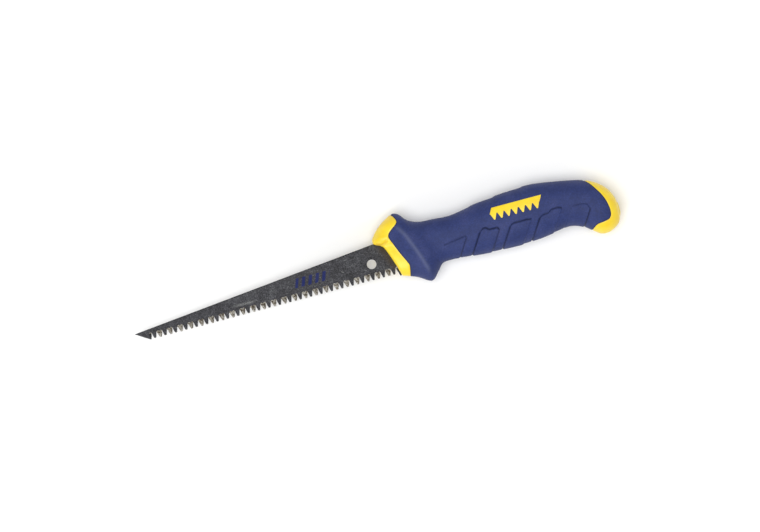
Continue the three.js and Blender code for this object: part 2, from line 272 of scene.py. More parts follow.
def between(tree, value, low, high, soft):
    """1 between two values and 0 outside them, with a soft edge."""
    rise = tree.nodes.new("ShaderNodeMapRange")
    rise.interpolation_type = "SMOOTHSTEP"
    fall = tree.nodes.new("ShaderNodeMapRange")
    fall.interpolation_type = "SMOOTHSTEP"
    for node, start, end in ((rise, low - soft, low + soft), (fall, high + soft, high - soft)):
        tree.links.new(value, node.inputs["Value"])
        node.inputs["From Min"].default_value = start
        node.inputs["From Max"].default_value = end
    return maths(tree, "MULTIPLY", rise.outputs["Result"], fall.outputs["Result"])


def product(tree, *terms):
    value = terms[0]
    for term in terms[1:]:
        value = maths(tree, "MULTIPLY", value, term)
    return value


def blackened_steel_nodes(tree, surface):
    place = on_saw(tree)
    x, y, _ = along_axes(tree, place)
    blotches = noise(tree, place, 0.14, 5.0, 0.62)
    speckle = noise(tree, place, 1.3, 4.0, 0.75)
    colour = ramp(tree, blotches, [
        (0.3, (0.021, 0.021, 0.023)), (0.5, (0.031, 0.031, 0.035)), (0.7, (0.048, 0.049, 0.053)),
    ])
    patches = noise(tree, place, 0.85, 4.0, 0.8)
    for pattern, dark, light in ((speckle, 0.45, 1.85), (patches, 0.72, 1.5)):
        grit = ramp(tree, pattern, [(0.4, dark), (0.5, 1.0), (0.6, light)])
        colour = blended(tree, 1.0, colour, grit, "MULTIPLY")
    # Thin handling scratches both ways, and a rubbed patch above the teeth.
    wear_and_highlight = 0.0
    for turn, length, amount in ((-0.55, 4.5, 0.6), (0.95, 3.5, 0.4)):
        turned = stretched(tree, place, (length, 0.45, 3.0), turn)
        stroke = noise(tree, turned, 1.0, 1.0, 0.5)
        stroke = ramp(tree, stroke, [(0.755, 0.0), (0.79, amount)])
        wear_and_highlight = maths(tree, "MAXIMUM", wear_and_highlight, stroke)
    rub = product(tree, between(tree, x, *RUB_ALONG, 3),
                  between(tree, y, *RUB_UP, 0.9),
                  ramp(tree, speckle, [(0.4, 0.1), (0.6, 0.7)]))
    wear_and_highlight = maths(tree, "MAXIMUM", wear_and_highlight, rub)
    colour = blended(tree, wear_and_highlight, colour, (0.26, 0.265, 0.26))
    # A thin band along the face under the spine is painted near black.
    under_spine = maths(tree, "SUBTRACT", y, product(tree, x, SPINE_SLOPE))
    edge = between(tree, under_spine, POINT_HEIGHT - SPINE_BAND, FAR, 0.3)
    colour = blended(tree, product(tree, edge, 0.8), colour, (0.008,) * 3)
    # Close to the collar the steel is painted darker and brown: painted shadow and reflection of
    # the handle on the blade, together with a brown stain.
    near_collar = maths(tree, "ADD", x, product(tree, y, 0.45))
    collar_shadow_and_stain = product(tree, between(tree, near_collar, SHADOW_AND_STAIN_START, FAR, 2.4), 0.72)
    colour = blended(tree, collar_shadow_and_stain, colour, (0.036, 0.025, 0.014))
    # A printed row of slanted blue bars on each face.
    slant = maths(tree, "SUBTRACT", x, product(tree, y, BAR_SLANT))
    bars = maths(tree, "SINE", product(tree, slant, 2 * math.pi / BAR_PITCH))
    ink = product(tree, between(tree, bars, 0.05, 2.0, 0.12),
                  between(tree, slant, *BARS_ALONG, 0.2),
                  between(tree, y, *BARS_UP, 0.15),
                  ramp(tree, speckle, [(0.35, 0.95), (0.7, 0.6)]))
    colour = blended(tree, ink, colour, (0.002, 0.008, 0.08))
    tree.links.new(colour, surface.inputs["Base Color"])
    tree.links.new(ramp(tree, speckle, [(0.3, 0.38), (0.7, 0.6)]), surface.inputs["Roughness"])
    surface.inputs["Metallic"].default_value = 0.2
    surface.inputs["Specular IOR Level"].default_value = 0.1
    bumped(tree, surface, maths(tree, "ADD", speckle, wear_and_highlight), 0.03, 0.6)


def ground_steel_nodes(tree, surface):
    place = on_saw(tree)
    lines = noise(tree, stretched(tree, place, (0.14, 0.14, 2.5)), 1.0, 3.0, 0.6)
    heat = noise(tree, place, 0.8, 2.0, 0.5)
    colour = ramp(tree, heat, [
        (0.36, (0.09, 0.07, 0.05)), (0.5, (0.27, 0.245, 0.2)), (0.64, (0.6, 0.58, 0.53)),
    ])
    streaks = ramp(tree, lines, [(0.35, 0.55), (0.5, 1.0), (0.65, 1.45)])
    colour = blended(tree, 1.0, colour, streaks, "MULTIPLY")
    tree.links.new(colour, surface.inputs["Base Color"])
    tree.links.new(ramp(tree, lines, [(0.3, 0.28), (0.7, 0.5)]), surface.inputs["Roughness"])
    surface.inputs["Metallic"].default_value = 0.7
    bumped(tree, surface, lines, 0.02, 0.7)


blackened_steel = shader("blackened_steel", blackened_steel_nodes)
ground_steel = shader("ground_steel", ground_steel_nodes)


def spine_at(x):
    return POINT_HEIGHT + SPINE_SLOPE * x


def blank_outline(z):
    """The blade before its teeth are ground, at one depth through its thickness."""
    across = FRONT_BEVEL * (z + HALF_BLADE) / BLADE_THICKNESS
    length = math.hypot(TOOTH_LINE_START, POINT_HEIGHT)
    run, drop = TOOTH_LINE_START / length, POINT_HEIGHT / length
    chamfer = SPINE_CHAMFER if abs(z) >= HALF_BLADE - 1e-6 else 0.0
    point = across / run
    return [
        (point, spine_at(point) - chamfer, z),
        (TOOTH_LINE_START + across * drop, across * 0.5, z),
        (HEEL[0] - TEETH_TO_HEEL, 0.0, z),
        (*HEEL, z),
        (HEEL[0] + HEEL_LENGTH, HEEL[1], z),
        (HEEL_ROOT, TANG_BOTTOM, z),
        (TANG_END, TANG_BOTTOM, z),
        (TANG_END, TANG_TOP, z),
        (TANG_FRONT, TANG_TOP, z),
        (TANG_FRONT, spine_at(TANG_FRONT) - chamfer, z),
    ]


def gullet_wheel(name, lean):
    """What the wheel takes out of one gullet. It leans towards +x on the left face (lean 1) or
    on the right face (lean -1), and passes the middle of the tooth it leans towards there, so
    that the tooth's two ground flanks meet in a ridge."""
    loops = []
    for side in (-1, 1):
        z = side * (HALF_BLADE + WHEEL_OVERRUN)
        face = lean * z / HALF_BLADE
        middle = GULLET_LEAN * face
        top = GULLET_DEPTH + GULLET_RISE * z / HALF_BLADE
        mean, spread = (FULL_TIP + GROUND_TIP) / 2, (FULL_TIP - GROUND_TIP) / 2
        left = -TOOTH_PITCH / 2 + mean + spread * face
        right = TOOTH_PITCH / 2 - mean + spread * face
        arc = []
        for i in range(13):
            turn = math.pi * (1 - i / 12)
            arc.append((middle + GULLET_RADIUS * math.cos(turn),
                        top - GULLET_RADIUS + GULLET_RADIUS * math.sin(turn)))
        ends = []
        for foot, root in ((left, arc[0]), (right, arc[-1])):
            grow = WHEEL_OVERRUN / root[1]
            ends.append((foot + (foot - root[0]) * grow, -WHEEL_OVERRUN))
        outline = [ends[0], ends[1], *reversed(arc)]
        loops.append([(x, y, z) for x, y in outline])
    wheel = stacked(name, loops)
    wheel.data.transform(tooth_line_shift)
    return wheel


def link_all(tree, *pairs):
    for source, target in pairs:
        tree.links.new(source, target)


def node(tree, kind, **settings):
    made = tree.nodes.new(kind)
    for name, value in settings.items():
        setattr(made, name, value)
    return made


def new_tree(name, inputs):
    """A geometry tree with named inputs, its input sockets' outputs and its output's socket."""
    tree = bpy.data.node_groups.new(name, "GeometryNodeTree")
    tree.interface.new_socket("Geometry", in_out="INPUT", socket_type="NodeSocketGeometry")
    for label, kind in inputs:
        tree.interface.new_socket(label, in_out="INPUT", socket_type="NodeSocket" + kind)
    tree.interface.new_socket("Geometry", in_out="OUTPUT", socket_type="NodeSocketGeometry")
    start = tree.nodes.new("NodeGroupInput")
    end = tree.nodes.new("NodeGroupOutput")
    return tree, start.outputs, end.inputs["Geometry"]


def run_tree(piece, tree, values):
    """Runs a tree on a piece with its named inputs set, and keeps the plain mesh it makes."""
    step = piece.modifiers.new(tree.name, "NODES")
    step.node_group = tree
    names = {item.name: item.identifier for item in tree.interface.items_tree
             if item.in_out == "INPUT"}
    for label, value in values.items():
        step[names[label]] = value
    bpy.context.view_layer.update()
    return baked(piece)


def tooth_grinding_tree():
    tree, given, result = new_tree("tooth_grinding", [
        ("Pairs of gullets", "Int"), ("First gullet", "Vector"), ("Pair step", "Vector"),
        ("Gullet step", "Vector"), ("Wheel", "Object"), ("Counter wheel", "Object"),
        ("Ground below", "Float"), ("Ground after", "Float"), ("Ground before", "Float"),
        ("Bare", "Material"),
        ("Ground", "Material"),
    ])
    cut = node(tree, "GeometryNodeMeshBoolean", operation="DIFFERENCE", solver="MANIFOLD")
    link_all(tree, (given["Geometry"], cut.inputs["Mesh 1"]))
    second = node(tree, "ShaderNodeVectorMath", operation="ADD")
    link_all(tree,
             (given["First gullet"], second.inputs[0]), (given["Gullet step"], second.inputs[1]))
    starts = (("Counter wheel", given["First gullet"]), ("Wheel", second.outputs[0]))
    for label, start in starts:
        row = node(tree, "GeometryNodeMeshLine", mode="OFFSET")
        tool = node(tree, "GeometryNodeObjectInfo", transform_space="RELATIVE")
        place = node(tree, "GeometryNodeInstanceOnPoints")
        real = node(tree, "GeometryNodeRealizeInstances")
        link_all(tree,
                 (given["Pairs of gullets"], row.inputs["Count"]),
                 (start, row.inputs["Start Location"]), (given["Pair step"], row.inputs["Offset"]),
                 (given[label], tool.inputs["Object"]),
                 (row.outputs["Mesh"], place.inputs["Points"]),
                 (tool.outputs["Geometry"], place.inputs["Instance"]),
                 (place.outputs["Instances"], real.inputs["Geometry"]),
                 (real.outputs["Geometry"], cut.inputs["Mesh 2"]))
    # Ground steel shows along the teeth, on every face that isn't flat to the side.
    normal = node(tree, "GeometryNodeInputNormal")
    slope = node(tree, "ShaderNodeSeparateXYZ")
    flat = node(tree, "ShaderNodeMath", operation="ABSOLUTE")
    sloping = node(tree, "FunctionNodeCompare", data_type="FLOAT", operation="LESS_THAN")
    sloping.inputs["B"].default_value = 0.985
    position = node(tree, "GeometryNodeInputPosition")
    axes = node(tree, "ShaderNodeSeparateXYZ")
    low = node(tree, "FunctionNodeCompare", data_type="FLOAT", operation="LESS_THAN")
    before = node(tree, "FunctionNodeCompare", data_type="FLOAT", operation="LESS_THAN")
    after = node(tree, "FunctionNodeCompare", data_type="FLOAT", operation="GREATER_THAN")
    along = node(tree, "FunctionNodeBooleanMath", operation="AND")
    toothed = node(tree, "FunctionNodeBooleanMath", operation="AND")
    ground = node(tree, "FunctionNodeBooleanMath", operation="AND")
    link_all(tree,
             (normal.outputs["Normal"], slope.inputs[0]), (slope.outputs["Z"], flat.inputs[0]),
             (flat.outputs[0], sloping.inputs["A"]), (position.outputs[0], axes.inputs[0]),
             (axes.outputs["Y"], low.inputs["A"]), (given["Ground below"], low.inputs["B"]),
             (axes.outputs["X"], before.inputs["A"]), (given["Ground before"], before.inputs["B"]),
             (axes.outputs["X"], after.inputs["A"]), (given["Ground after"], after.inputs["B"]),
             (before.outputs[0], along.inputs[0]), (after.outputs[0], along.inputs[1]),
             (low.outputs[0], toothed.inputs[0]), (along.outputs[0], toothed.inputs[1]),
             (sloping.outputs[0], ground.inputs[0]), (toothed.outputs[0], ground.inputs[1]))
    real = node(tree, "GeometryNodeRealizeInstances")
    bare = node(tree, "GeometryNodeSetMaterial")
    bright = node(tree, "GeometryNodeSetMaterial")
    link_all(tree,
             (cut.outputs["Mesh"], real.inputs["Geometry"]),
             (real.outputs["Geometry"], bare.inputs["Geometry"]),
             (given["Bare"], bare.inputs["Material"]),
             (bare.outputs["Geometry"], bright.inputs["Geometry"]),
             (ground.outputs[0], bright.inputs["Selection"]),
             (given["Ground"], bright.inputs["Material"]),
             (bright.outputs["Geometry"], result))
    return tree


tooth_line_shift = Matrix.Translation(-Vector(tooth_line))
levels = (-HALF_BLADE, SPINE_CHAMFER - HALF_BLADE, HALF_BLADE - SPINE_CHAMFER, HALF_BLADE)
saw_blade = stacked("saw_blade", [blank_outline(z) for z in levels])
drills = [(x, PIN_HEIGHT, PIN_HOLE_RADIUS) for x in PIN_PLACES] + [HANG_HOLE]
for x, y, radius in drills:
    machined(saw_blade, "DIFFERENCE", pulled("drill", circle(x, y, radius), -2, 2))
wheel, counter_wheel = gullet_wheel("wheel", 1), gullet_wheel("counter_wheel", -1)
run_tree(saw_blade, tooth_grinding_tree(), {
    "Pairs of gullets": PAIRS_OF_GULLETS,
    "First gullet": at(FIRST_TOOTH - TOOTH_PITCH / 2, 0),
    "Gullet step": (TOOTH_PITCH * MM, 0, 0),
    "Pair step": (2 * TOOTH_PITCH * MM, 0, 0),
    "Wheel": wheel,
    "Counter wheel": counter_wheel,
    "Ground below": at(0, POINT_HEIGHT)[1],
    "Ground after": at(TOOTH_LINE_START + GROUND_MARGIN[0], 0)[0],
    "Ground before": at(HEEL[0] - GROUND_MARGIN[1], 0)[0],
    "Bare": blackened_steel,
    "Ground": ground_steel,
})
for tool in (wheel, counter_wheel):
    bpy.data.objects.remove(tool)
finished(saw_blade, "blade")

# ------------------------------------------------------------------ tang pins
# Three drawn steel pins, pressed through the tang and held in bosses in both half shells. They
# are the CAD's own pieces, and only their finish is added.


def drawn_steel_nodes(tree, surface):
    place = on_saw(tree)
    lines = noise(tree, stretched(tree, place, (0.17, 0.17, 3.0)), 1.0, 3.0, 0.6)
    colour = ramp(tree, lines, [(0.3, (0.42, 0.43, 0.45)), (0.7, (0.6, 0.61, 0.63))])
    tree.links.new(colour, surface.inputs["Base Color"])
    tree.links.new(ramp(tree, lines, [(0.3, 0.24), (0.7, 0.42)]), surface.inputs["Roughness"])
    surface.inputs["Metallic"].default_value = 1.0
    bumped(tree, surface, lines, 0.01, 0.5)


drawn_steel = shader("drawn_steel", drawn_steel_nodes)
for place_name in ("front", "middle", "rear"):
    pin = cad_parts["tang_pin_" + place_name]
    for material_slot in pin.material_slots:
        material_slot.material = drawn_steel

# ------------------------------------------------------------------ half shells
# Two mouldings in yellow plastic, mirror images that meet along the middle of the saw. They show
# as the collar round the blade and as the butt; between those they are a thinner core that the
# rubber covers, hollow inside, with ribs across it and a boss round each pin.
GRIP_WALL = 2.8
BOND_GAP = 0.02
SHELL_WALL = 2.8
HOLLOW_SECTIONS = (1.5, 14)
PARTING_GAP = 0.05
TANG_CLEARANCE = 0.2
HEEL_CLEARANCE = 0.3
SLOT_CLEARANCE = 0.1
MOUTH_REACH = 6.0
PIN_SOCKET = 5.3
BOSS_RADIUS = 5.2
RIB_THICKNESS = 2.0
RIB_SPACING = 16.0
RIB_COUNT = 8
FIRST_RIB = 26.0
HALF_HANDLE = 15.5
OVAL = 2.45
BUTT_DOME = 0.75
NOSE_FADE = 3.0
WIDE = 60.0
IN_FRONT, BEHIND = -40.0, 200.0
SIDE_START = -20.0
FINE_AROUND = 224
COLLAR_RINGS, GUARD_RINGS, PALM_RINGS, BUTT_RINGS, DOME_RINGS = 44, 56, 340, 44, 30
COLLAR_CROWDING = 1.7
UNDERSIDE_CROWDING = 0.3
PLAIN_RINGS, PLAIN_AROUND = 90, 64
# Sections of the handle, from the blade's mouth to the butt, in millimetres behind the nose of
# the collar: a point on the underside, a point on the back, and the half width between them.
SECTIONS = (
    ((12.9, -2.0), (15.0, 36.7), 7.5), ((21.7, -5.2), (17.4, 37.0), 11.5),
    ((30.3, -9.7), (20.2, 35.6), 14.6), ((35.5, -4.9), (24.4, 30.9), 14.2),
    ((39.2, -0.8), (30.7, 28.1), 12.4), ((45.7, 0.0), (39.7, 27.4), 11.8),
    ((53.7, -0.7), (50.7, 26.8), 12.3), ((65.7, -1.7), (65.7, 29.1), 13.8),
    ((83.7, -2.3), (83.7, 31.2), 15.1), ((101.7, -1.7), (101.7, 32.3), 15.4),
    ((113.7, 0.1), (114.7, 31.2), 14.8), ((122.7, 1.0), (125.7, 29.4), 14.2),
    ((129.7, -1.2), (134.7, 27.4), 14.4), ((135.2, -5.4), (140.7, 25.3), 15.0),
    ((140.7, -8.9), (146.0, 22.0), 15.3), ((146.7, -8.4), (150.6, 17.3), 13.6),
    ((152.2, -4.6), (153.2, 12.0), 9.5), ((153.9, -0.4), (154.1, 8.0), 4.2),
)
LAST = len(SECTIONS) - 1
# How far the collar's front edge steps ahead of the first section, from underside (0) to back (1).
NOSE_REACH = (
    (0, 0), (0.24, 3.3), (0.48, 7.2), (0.55, 9.5), (0.6, 13.4),
    (0.645, 14.25), (0.7, 13.9), (0.79, 11.3), (0.9, 6.7), (1, 0.2),
)
FRONT_SEAM = (
    (17.7, -3.1), (18.4, 0.3), (18.7, 3.3), (17.7, 6.0), (15.4, 10.8), (12.7, 17.3),
    (10.7, 22.3), (10.5, 24.0), (11.4, 25.9), (13.7, 27.9), (16.9, 30.3), (17.7, 32.2),
    (16.7, 34.6), (14.9, 36.9),
)
REAR_SEAM = (
    (137.3, 26.7), (140.2, 23.6), (142.7, 20.0), (145.2, 15.8), (147.0, 11.8), (148.0, 7.8),
    (148.4, 4.3), (148.0, 1.3), (146.6, -0.7), (144.7, -1.4), (141.7, -1.9), (138.7, -2.3),
    (136.6, -3.5), (134.9, -5.1),
)


def hermite(weight, start, end, leave, arrive):
    """A place part of the way along a curve with given pulls at its ends."""
    w2, w3 = weight ** 2, weight ** 3
    return ((2 * w3 - 3 * w2 + 1) * start + (w3 - 2 * w2 + weight) * leave
            + (3 * w2 - 2 * w3) * end + (w3 - w2) * arrive)


def even_curve(points, steps):
    """A smooth curve through points, with the same pull at each."""
    points = np.array(points, float)
    padded = np.vstack([points[:1], points, points[-1:]])
    place = np.linspace(0, len(points) - 1, steps)
    i = np.minimum(place.astype(int), len(points) - 2)
    before, start, end, after = (padded[i + k] for k in range(4))
    weight = (place - i)[:, None]
    return hermite(weight, start, end, (end - before) / 2, (after - start) / 2)


def spaced_curve(points, stations):
    """A smooth curve through points that allows for how far apart they are."""
    points = np.array(points, float)
    padded = np.vstack([2 * points[0] - points[1], points, 2 * points[-1] - points[-2]])
    i = np.minimum(stations.astype(int), len(points) - 2)
    before, start, end, after = (padded[i + k] for k in range(4))
    first, middle, last = (
        np.sqrt(np.linalg.norm(b - a, axis=1))[:, None]
        for a, b in ((before, start), (start, end), (end, after))
    )
    leave = (start - before) / first - (end - before) / (first + middle) + (end - start) / middle
    arrive = (end - start) / middle - (after - start) / (middle + last) + (after - end) / last
    weight = (stations - i)[:, None]
    return hermite(weight, start, end, leave * middle, arrive * middle)


def nose_reach(height):
    """How far the collar's edge steps forward at a height, as a share of the section's own."""
    table = even_curve(NOSE_REACH, 200)
    return np.interp(height, table[:, 0], table[:, 1])


def smooth(low, high, value):
    """Rises softly from 0 at low to 1 at high, or falls where low is the greater."""
    share = np.clip((value - low) / (high - low), 0, 1)
    return share * share * (3 - 2 * share)


def skin_rings(stations, around, inset=0.0, crowding=0.0):
    """The left half of each ring round the handle, sunk by inset, as an array of places, with
    each place's share of the way from the underside to the back. Crowding sets the places
    closer near the underside."""
    under = spaced_curve([under for under, _, _ in SECTIONS], stations)
    back = spaced_curve([(*back, half) for _, back, half in SECTIONS], stations)
    steps = around // 2
    turn = np.linspace(0, math.pi, 361)
    bend = 2 / OVAL
    height = 0.5 - 0.5 * np.sign(np.cos(turn)) * np.abs(np.cos(turn)) ** bend
    girth = np.abs(np.sin(turn)) ** bend
    reach = nose_reach(height)
    rings, shares = [], []
    for i, station in enumerate(stations):
        line = back[i, :2] - under[i]
        length = np.linalg.norm(line)
        line = line / length
        along = inset + (length - 2 * inset) * height
        ahead = max(0.0, 1 - station / NOSE_FADE) ** 2 * (reach - inset)
        ring = np.stack([
            under[i, 0] + line[0] * along - ahead,
            under[i, 1] + line[1] * along,
            (back[i, 2] - inset) * girth,
        ], axis=1)
        walked = np.concatenate([[0], np.cumsum(np.linalg.norm(np.diff(ring, axis=0), axis=1))])
        share = np.linspace(0, 1, steps + 1)
        even = walked[-1] * share * (1 - crowding * (1 - share))
        rings.append(np.stack([np.interp(even, walked, ring[:, k]) for k in range(3)], axis=1))
        shares.append(np.interp(even, walked, height))
    return np.array(rings), np.array(shares)


def closed_rings(name, rings):
    """A closed body from half rings and their mirror images, with strips across both ends."""
    count, half = rings.shape[0], rings.shape[1] - 1
    size = 2 * half
    mirror = rings[:, half - 1:0:-1] * (1, 1, -1)
    whole = np.concatenate([rings, mirror], axis=1) + (BLADE_LENGTH, 0, 0)
    places = whole.reshape(-1, 3)
    faces = []
    for r in range(count - 1):
        for j in range(size):
            here, beside = r * size + j, r * size + (j + 1) % size
            faces.append((here, here + size, beside + size, beside))
    last = (count - 1) * size
    for j in range(half):
        across, across_next = (size - j) % size, size - j - 1
        strip = [j, j + 1, across_next, across]
        strip = [k for i, k in enumerate(strip) if k not in strip[:i]]
        faces.append(tuple(strip))
        faces.append(tuple(last + k for k in reversed(strip)))
    return solid(name, places, faces)


def plain_body(name, inset, first, last):
    """A coarser closed body inside the skin, for walls that nobody sees."""
    rings, _ = skin_rings(np.linspace(first, last, PLAIN_RINGS), PLAIN_AROUND, inset)
    return closed_rings(name, rings)


def distance_to(line, x, y):
    """How far each place is from a line of points, across the saw's side."""
    nearest = np.full(x.shape, 1e9)
    for (ax, ay), (bx, by) in zip(line[:-1], line[1:]):
        length = max((bx - ax) ** 2 + (by - ay) ** 2, 1e-9)
        share = np.clip(((x - ax) * (bx - ax) + (y - ay) * (by - ay)) / length, 0, 1)
        gap = np.hypot(x - ax - share * (bx - ax), y - ay - share * (by - ay))
        nearest = np.minimum(nearest, gap)
    return nearest


front_seam = even_curve(FRONT_SEAM, 90)
rear_seam = even_curve(REAR_SEAM, 90)


def to_seams(handle_x, y):
    return np.minimum(distance_to(front_seam, handle_x, y), distance_to(rear_seam, handle_x, y))


# Each pad of the grip: where it starts and ends along the saw, measured on the slant of its
# edges at the tooth line's height; how high up the side it reaches, as (share of its length,
# height); its rise; and how deep the grooves at its start, its top and its end are.
PAD_SLANT = 0.62
PADS = (
    (195.0, 209.1, ((0, 9.6), (0.9, 12.0), (1, 10.6)), 0.3, (0, 0.5, 0.8)),
    (217.3, 230.4, ((0, 11.8), (0.08, 13.4), (0.22, 13.6), (0.45, 12.0), (0.86, 11.8), (1, 10.2)),
     0.5, (1, 1, 0.8)),
    (237.3, 250.2, ((0, 10.6), (0.1, 11.9), (0.77, 11.9), (1, 11.5)), 0.5, (1, 1, 0.1)),
    (256.2, 269.2, ((0, 10.8), (0.14, 12.2), (0.38, 12.4), (0.48, 14.1), (0.8, 14.2), (1, 13.4)),
     0.42, (1, 0.8, 0.05)),
    (276.2, 289.7, ((0, 12.8), (0.5, 12.6), (0.75, 11.6), (1, 8.2)), 0.42, (0.2, 0.35, 1)),
)
PAD_EDGE = 0.3
PAD_GROOVE = 0.65
GROOVE_HALF_WIDTH = 0.48
BACK_STEPS = ((222.5, 16.5), (238.6, 18.5), (257.0, 22.0))
BACK_STEP_RISE = 0.45
BACK_STEP_SOFT = 1.6
BACK_STEP_TOP = 3
BACK_FADE = (27.0, 29.5)
SEAM_FADE = (0.5, 4.0)
NECK_FADE = (32, 40)
BUTT_FADE = (147, 140)
COLLAR_EDGE = 1.7
NOSE_EDGE = 6.3
CHEEK = (5.0, 23.6)
CHEEK_SPREAD = (4.5, 3.0)
CHEEK_RISE = 1.2
FOLD = ((160.6, 21.2), (162.6, 20.0), (164.8, 19.9), (166.8, 21.3))
FOLD_DEPTH = 0.75
FOLD_HALF_WIDTH = 0.8
# How far the painted shade along the fold spreads.
FOLD_SHADE_SPREAD = 0.7
SEAM_GROOVE = 0.4
SEAM_SOFT = 0.45
CREST = (
    (171.5, 34.5), (175.4, 28.4), (179.3, 22.0), (182.1, 14.9), (185.7, 5.6), (187.9, -1.6),
    (188.6, -9.7),
)
CREST_RISE = 0.95
CREST_SOFT = 1.5


def on_grip(x, y):
    """1 on the rubber, falling to 0 at its seams and in front of its pads."""
    handle_x = x - BLADE_LENGTH
    near_seam = to_seams(handle_x, y)
    along = smooth(*NECK_FADE, handle_x) * smooth(*BUTT_FADE, handle_x)
    return smooth(*SEAM_FADE, near_seam) * along


def pad_shape(x, y):
    """How far the rubber stands above the plain skin, and how deep it is grooved. Each pad laps
    up like a shingle towards its end, and has a groove cut round it. The back has low steps."""
    slant = x - PAD_SLANT * y
    rise = np.zeros_like(x)
    grooved = np.zeros_like(x)
    for start, end, tops, height, grooves in PADS:
        share = (slant - start) / (end - start)
        top = np.interp(share, *zip(*tops))
        after_start = smooth(start - PAD_EDGE, start + PAD_EDGE, slant)
        before_end = smooth(end + 2 * PAD_EDGE, end, slant)
        below = smooth(top + PAD_EDGE, top - PAD_EDGE, y)
        rise += height * (0.4 + 0.6 * np.clip(share, 0, 1)) * after_start * before_end * below
        lines = ((start, slant, below), (top, y, after_start * before_end), (end, slant, below))
        for depth, (edge, measure, along) in zip(grooves, lines):
            line = depth * np.exp(-((measure - edge) / GROOVE_HALF_WIDTH) ** 2) * along
            grooved = np.maximum(grooved, line)
    for start, length in BACK_STEPS:
        ledge = smooth(start - BACK_STEP_SOFT, start + BACK_STEP_SOFT, x)
        ledge *= smooth(start + length, start + BACK_STEP_TOP, x)
        rise += BACK_STEP_RISE * ledge * smooth(*BACK_FADE, y)
    share = on_grip(x, y)
    return rise * share, grooved * share


def split_along_grooves(piece):
    """Splits each four-sided face across its shorter way, which is the way the grooves run."""
    mesh = bmesh.new()
    mesh.from_mesh(piece.data)
    bmesh.ops.triangulate(mesh, faces=mesh.faces[:], quad_method="SHORT_EDGE")
    mesh.to_mesh(piece.data)
    mesh.free()
    return piece


def handle_skin():
    """The whole outside of the handle, finely made, with every edge and pad in it."""
    stations = np.concatenate([
        (np.arange(COLLAR_RINGS) / COLLAR_RINGS) ** COLLAR_CROWDING,
        np.linspace(1, 4, GUARD_RINGS, endpoint=False),
        np.linspace(4, 14, PALM_RINGS, endpoint=False), np.linspace(14, LAST, BUTT_RINGS),
    ])
    rings, shares = skin_rings(stations, FINE_AROUND, crowding=UNDERSIDE_CROWDING)
    x, y, z = (rings[:, :, k] for k in range(3))
    # The collar's front edge is rounded over, tightly along the blade and broadly above the nose.
    (under_x, _), (back_x, _), _ = SECTIONS[0]
    front = under_x + (back_x - under_x) * shares - nose_reach(shares)
    radius = COLLAR_EDGE + (NOSE_EDGE - COLLAR_EDGE) * smooth(0.57, 0.74, shares)
    left = np.clip(radius - (x - front), 0, None)
    sunk = radius - np.sqrt(np.clip(radius ** 2 - left ** 2, 0, None))
    fullest = z.max(axis=1, keepdims=True)
    z = z * (1 - np.clip(sunk / fullest, 0, 0.9))
    # The cheek of the nose swells where the collar turns up from the blade.
    from_cheek = ((x - CHEEK[0]) / CHEEK_SPREAD[0]) ** 2 + ((y - CHEEK[1]) / CHEEK_SPREAD[1]) ** 2
    swell = np.exp(-from_cheek)
    folded = np.exp(-(distance_to(FOLD, x + BLADE_LENGTH, y) / FOLD_HALF_WIDTH) ** 2)
    z = z + (CHEEK_RISE * swell - FOLD_DEPTH * folded) * smooth(0.5, 3.0, z)
    # The guard comes to a soft crest between the collar and the neck.
    to_crest = distance_to(CREST, x + BLADE_LENGTH, y)
    sharp = np.exp(0.4 - np.sqrt((to_crest / CREST_SOFT) ** 2 + 0.16))
    z = z * (1 + CREST_RISE * sharp * smooth(6, 11, z) / fullest.max())
    rings = np.stack([x, y, z], axis=2)
    # Rubber pads, and the rounded lips of both seams, along the skin's own normal.
    along = np.gradient(rings, axis=0)
    round_it = np.gradient(rings, axis=1)
    normal = np.cross(along, round_it)
    normal /= np.maximum(np.linalg.norm(normal, axis=2, keepdims=True), 1e-9)
    normal *= np.sign((normal[:, :, 2] * (z > 0.2)).sum())
    normal[:, 0, 2] = normal[:, -1, 2] = 0
    rise, grooved = pad_shape(x + BLADE_LENGTH, y)
    rise -= PAD_GROOVE * grooved + SEAM_GROOVE * np.exp(-(to_seams(x, y) / SEAM_SOFT) ** 2)
    rings = rings + normal * rise[:, :, None]
    rings[:, :, 2] = np.minimum(rings[:, :, 2], HALF_HANDLE)
    # The butt ends in a shallow dome.
    last_ring = rings[-1]
    centre = last_ring.mean(axis=0) * (1, 1, 0)
    dome = []
    for turn in np.linspace(0, math.radians(89.5), DOME_RINGS)[1:]:
        ring = centre + (last_ring - centre) * math.cos(turn)
        ring[:, 0] += BUTT_DOME * math.sin(turn)
        dome.append(ring)
    whole = np.concatenate([rings, np.array(dome)])
    return split_along_grooves(closed_rings("handle_skin", whole))


def seam_block(name, seam, outside, clearance):
    """A block on one side of a seam, with its edge moved a clearance into the grip."""
    along = np.gradient(seam, axis=0)
    along /= np.linalg.norm(along, axis=1, keepdims=True)
    moved = seam + np.stack([along[:, 1], -along[:, 0]], axis=1) * clearance
    start, end = moved[0], moved[-1]
    beyond = WIDE if end[1] > start[1] else -WIDE
    outline = [(outside, start[1] - beyond), (start[0], start[1] - beyond), *map(tuple, moved),
               (end[0], end[1] + beyond), (outside, end[1] + beyond)]
    return pulled(name, [(x + BLADE_LENGTH, y) for x, y in outline], -WIDE, WIDE)


def collar_block(clearance):
    return seam_block("collar_block", front_seam, IN_FRONT, clearance)


def butt_block(clearance):
    return seam_block("butt_block", rear_seam, BEHIND, clearance)


def end_in(tree, geometry, material, result):
    """Ends a tree with real geometry in one material."""
    real = node(tree, "GeometryNodeRealizeInstances")
    finish = node(tree, "GeometryNodeSetMaterial")
    link_all(tree,
             (geometry, real.inputs["Geometry"]),
             (real.outputs["Geometry"], finish.inputs["Geometry"]),
             (material, finish.inputs["Material"]), (finish.outputs["Geometry"], result))


